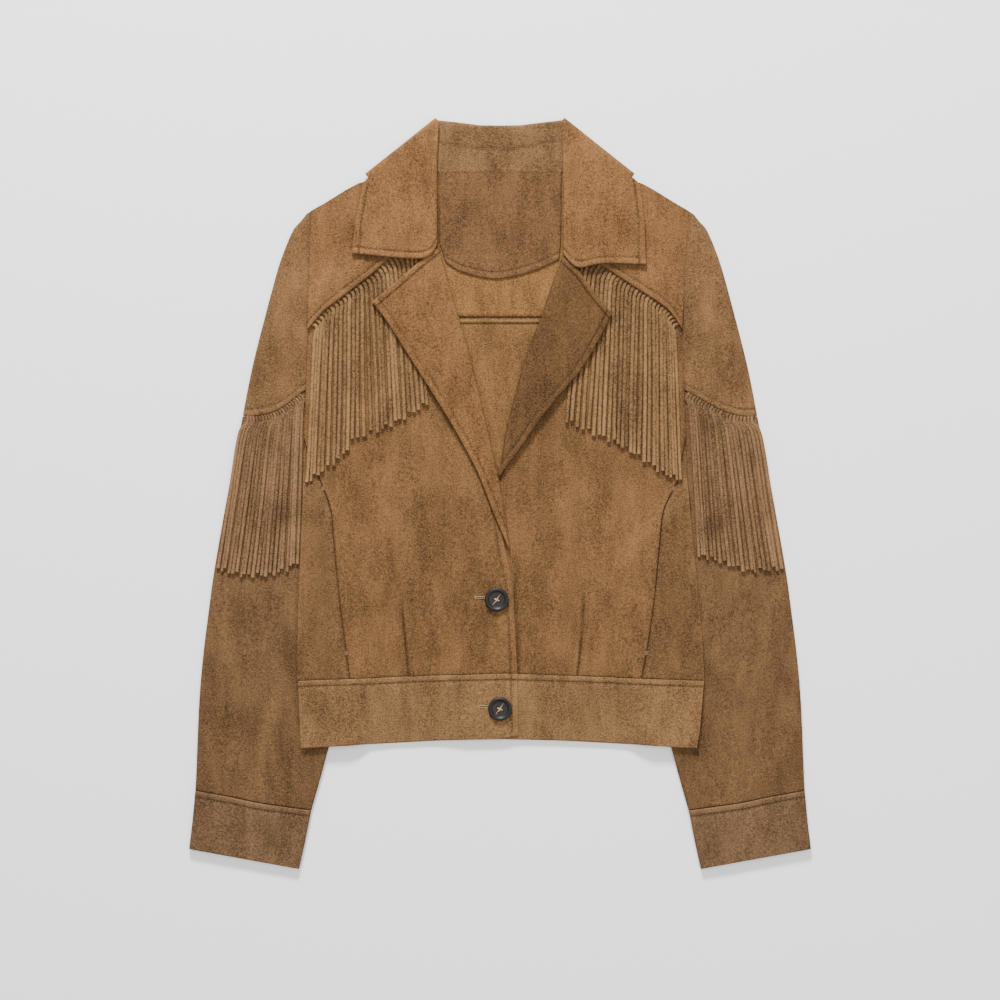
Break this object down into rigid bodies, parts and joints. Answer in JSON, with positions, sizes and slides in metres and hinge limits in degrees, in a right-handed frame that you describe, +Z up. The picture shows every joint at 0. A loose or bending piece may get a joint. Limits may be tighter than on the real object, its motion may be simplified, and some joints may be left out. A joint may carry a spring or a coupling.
{
  "type": "fringe jacket",
  "caption": "Short suede jacket laid flat, with notched lapels, slanted yoke seams, long cut fringe on chest and sleeves, cuffs and a waistband.",
  "frame": {"origin": "on the surface it lies on, under the middle of the jacket's outline", "axes": "+X towards the wearer's left sleeve, +Y towards the collar, +Z up out of the front"},
  "size_m": [0.5908, 0.7134, 0.0138],
  "materials": {
    "suede": "soft brushed nap, matte",
    "suede_inside": "flat inner side, matte",
    "suede_facing": "darker suede, matte",
    "button": "satin, raised rim"
  },
  "bodies": {
    "root": {"back_yoke": "suede_inside", "back_body": "suede_inside", "band_back": "suede", "neck_facing": "suede_facing", "front_right": "suede", "front_left": "suede", "side_right": "suede", "side_left": "suede", "yoke_right": "suede", "yoke_left": "suede", "band_right": "suede", "band_left": "suede", "lapel_right": "suede", "lapel_left": "suede", "collar_fall": "suede", "collar_stand": "suede", "sleeve_right": "suede", "sleeve_left": "suede", "cap_right": "suede", "cap_left": "suede", "cuff_right": "suede", "cuff_left": "suede", "fringe_chest_right": "suede", "fringe_chest_left": "suede", "fringe_sleeve_right": "suede", "fringe_sleeve_left": "suede", "button_upper": "button", "button_lower": "button"}
  },
  "joints": []
}
